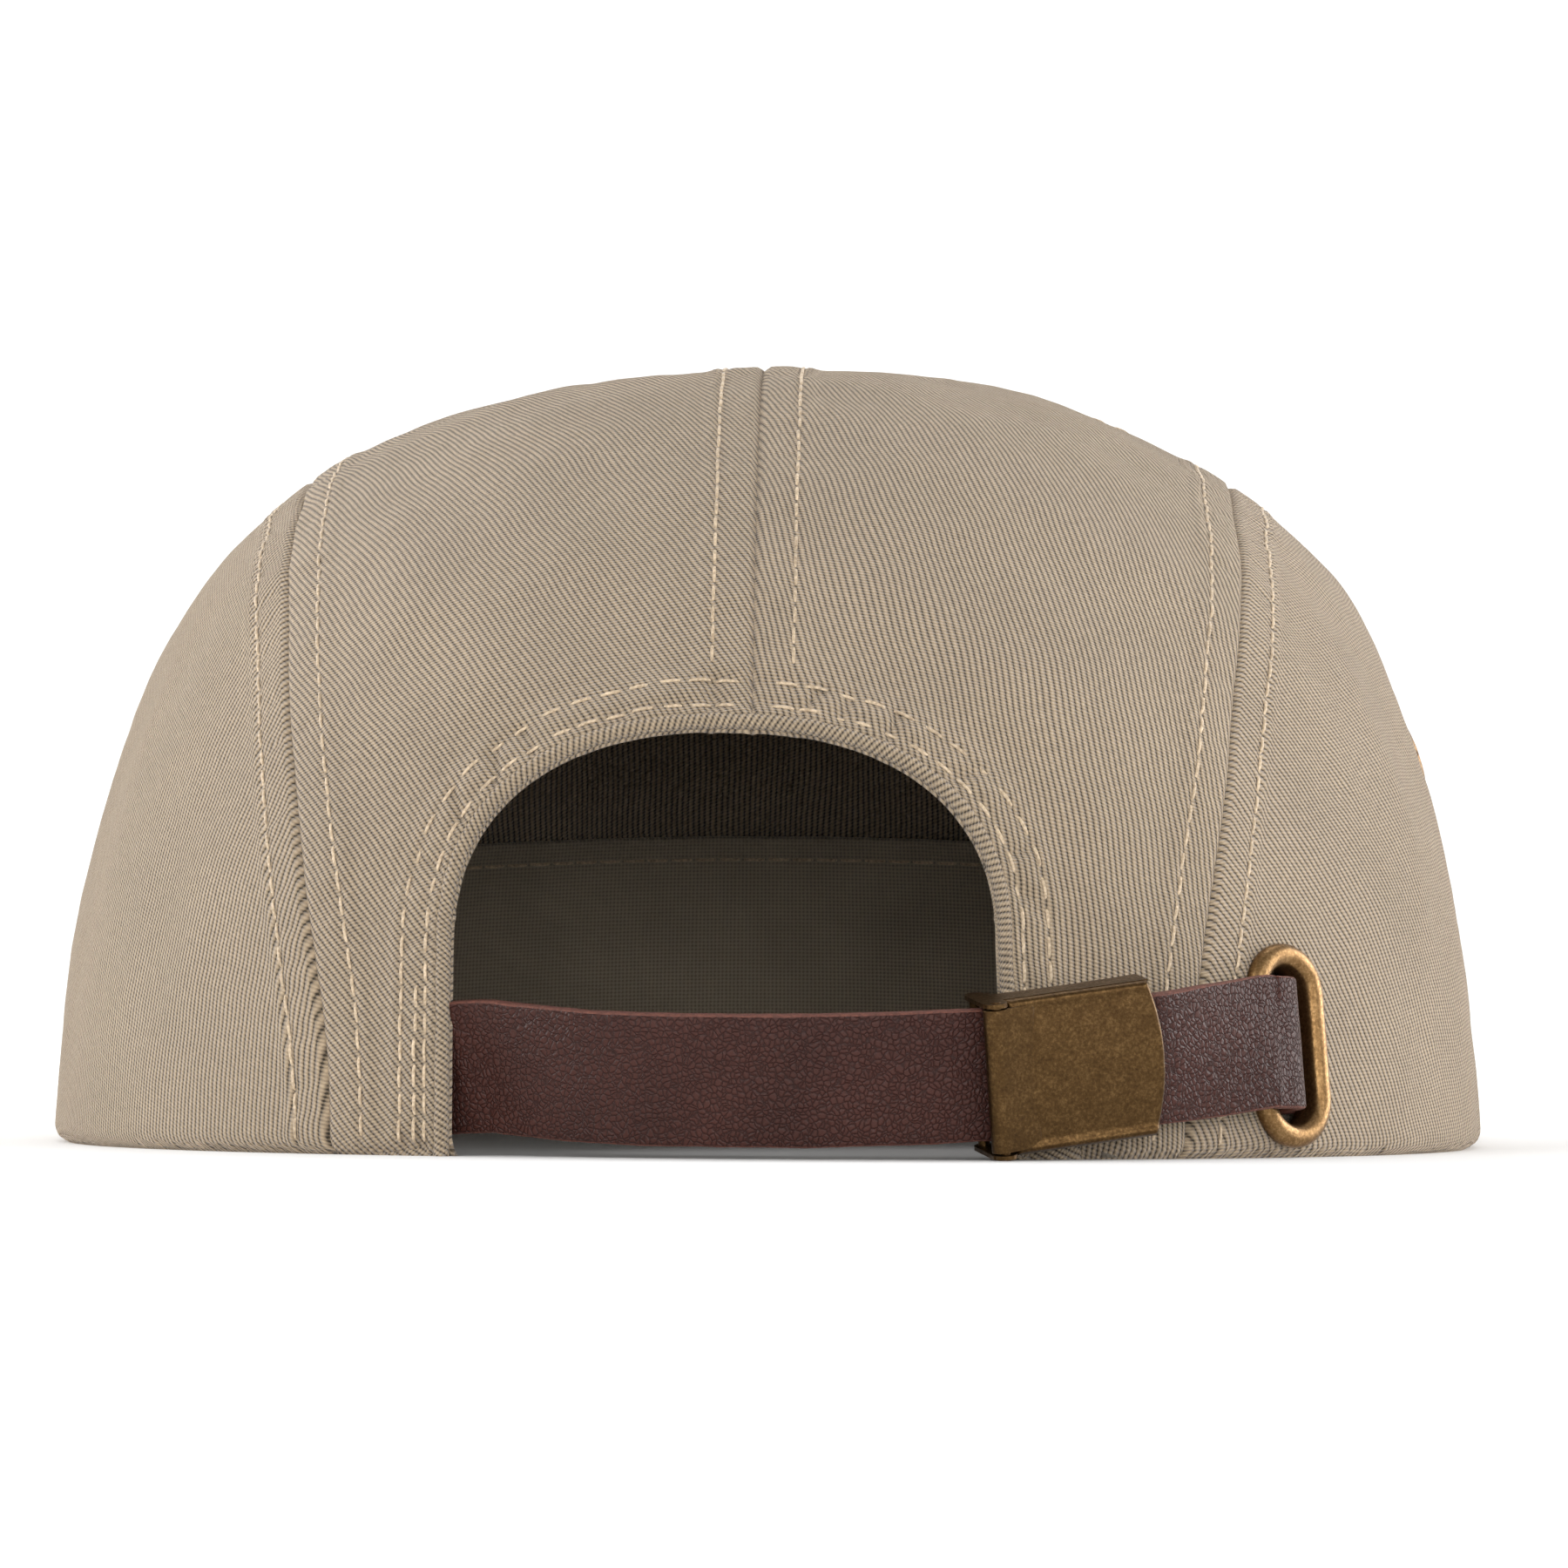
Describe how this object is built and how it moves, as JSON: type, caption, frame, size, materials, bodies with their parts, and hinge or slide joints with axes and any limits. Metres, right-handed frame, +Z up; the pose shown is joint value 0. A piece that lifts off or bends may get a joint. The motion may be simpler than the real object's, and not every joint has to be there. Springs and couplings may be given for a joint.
{
  "type": "baseball cap",
  "caption": "Camper-style cotton cap with a flat visor and an arched rear opening closed by a leather strap, a flip-cover brass buckle and an oblong eyelet.",
  "frame": {"origin": "middle of the bottom rim, in the rim plane", "axes": "+Z up; +Y forwards, towards the visor; +X to the wearer's right; the opening at the back faces -Y"},
  "size_m": [0.1804, 0.2724, 0.0963],
  "materials": {
    "khaki_twill": "matte",
    "sweatband_cotton": "matte",
    "seam_tape": "matte",
    "visor_board_plastic": "matte",
    "brown_leather": "satin",
    "antique_brass": "satin"
  },
  "bodies": {
    "root": {"front_panel": "khaki_twill", "left_side_panel": "khaki_twill", "right_side_panel": "khaki_twill", "left_crown_panel": "khaki_twill", "right_crown_panel": "khaki_twill", "visor_top_cover": "khaki_twill", "visor_under_cover": "khaki_twill", "opening_facing": "khaki_twill", "visor_board": "visor_board_plastic", "sweatband": "sweatband_cotton", "front_seam_tape": "seam_tape", "left_seam_tape": "seam_tape", "right_seam_tape": "seam_tape", "centre_seam_tape": "seam_tape", "strap": "brown_leather", "keeper_loop": "brown_leather", "strap_eyelet": "antique_brass", "strap_eyelet_washer": "antique_brass", "left_vent_eyelets": "antique_brass", "right_vent_eyelets": "antique_brass"},
    "buckle": {"buckle_frame": "antique_brass", "buckle_hinge_pin": "antique_brass"},
    "cover": {"buckle_lever": "antique_brass"}
  },
  "joints": [
    {"name": "buckle_slide", "type": "hinge", "parent": "root", "child": "buckle", "pos_m": [0.008, -0.0229, 0.0235], "axis": [0.022, 0.178, -0.9838], "range_deg": [0, 3.6]},
    {"name": "cover_flip", "type": "hinge", "parent": "buckle", "child": "cover", "pos_m": [0.02841, -0.10225, 0.00929], "axis": [0.0709, 0.1958, -0.9781], "range_deg": [0, 100]}
  ]
}
